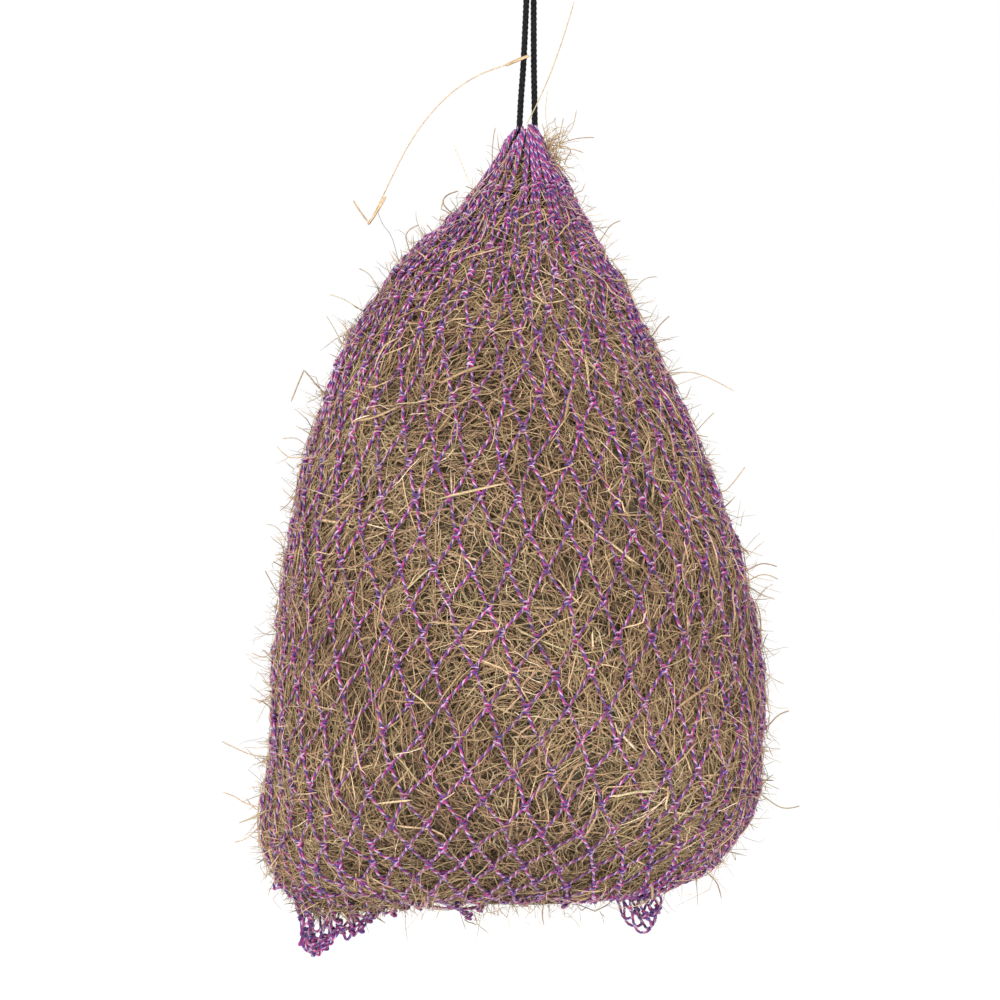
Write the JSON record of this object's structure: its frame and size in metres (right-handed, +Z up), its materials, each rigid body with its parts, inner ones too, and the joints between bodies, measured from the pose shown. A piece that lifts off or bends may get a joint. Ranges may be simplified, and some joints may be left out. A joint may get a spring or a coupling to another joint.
{
  "type": "hay net",
  "caption": "Knotted small-mesh hay net filled with hay, drawn shut on a braided cord and hanging by a loop from a steel ring.",
  "frame": {"origin": "inside top of the steel ring, where the net hangs on a hook", "axes": "+Z up, +X to the right of the front panel, front panel faces -Y"},
  "size_m": [0.5928, 0.4934, 1.07],
  "materials": {
    "steel": "zinc plated",
    "cord": "braided polypropylene",
    "twine": "three-ply marled twine",
    "hay": "dry meadow hay"
  },
  "bodies": {
    "ring": {"hang_ring": "steel"},
    "loop": {"hang_loop": "cord", "hang_knot": "cord", "cord_end_left": "cord", "cord_end_right": "cord"},
    "strands": {"draw_cord_left": "cord", "draw_cord_right": "cord", "draped_stalk": "hay"},
    "net": {"draw_cord_bight": "cord", "mouth_gather": "twine", "net_front_panel": "twine", "net_back_panel": "twine", "side_lacing_left": "twine", "side_lacing_right": "twine", "base_lacing": "twine", "corner_flap_left": "twine", "corner_loops_right": "twine", "hay_flake_1": "hay", "hay_flake_2": "hay", "hay_flake_3": "hay", "hay_flake_4": "hay", "hay_flake_5": "hay", "hay_flake_6": "hay", "hay_mouth_tuft": "hay", "stray_stalks_left": "hay", "stray_stalks_right": "hay", "stray_stalks_front": "hay", "stray_stalks_back": "hay"}
  },
  "joints": [
    {"name": "swing_side", "type": "hinge", "parent": "ring", "child": "loop", "pos_m": [0, 0, -0.044], "axis": [0, 1, 0], "range_deg": [-25, 25]},
    {"name": "swing_fore_aft", "type": "hinge", "parent": "loop", "child": "strands", "pos_m": [0, 0, -0.098], "axis": [1, 0, 0], "range_deg": [-20, 20]},
    {"name": "net_turn", "type": "hinge", "parent": "strands", "child": "net", "pos_m": [0.0007, 0, -0.228], "axis": [0, 0, 1], "range_deg": [-40, 40]}
  ]
}
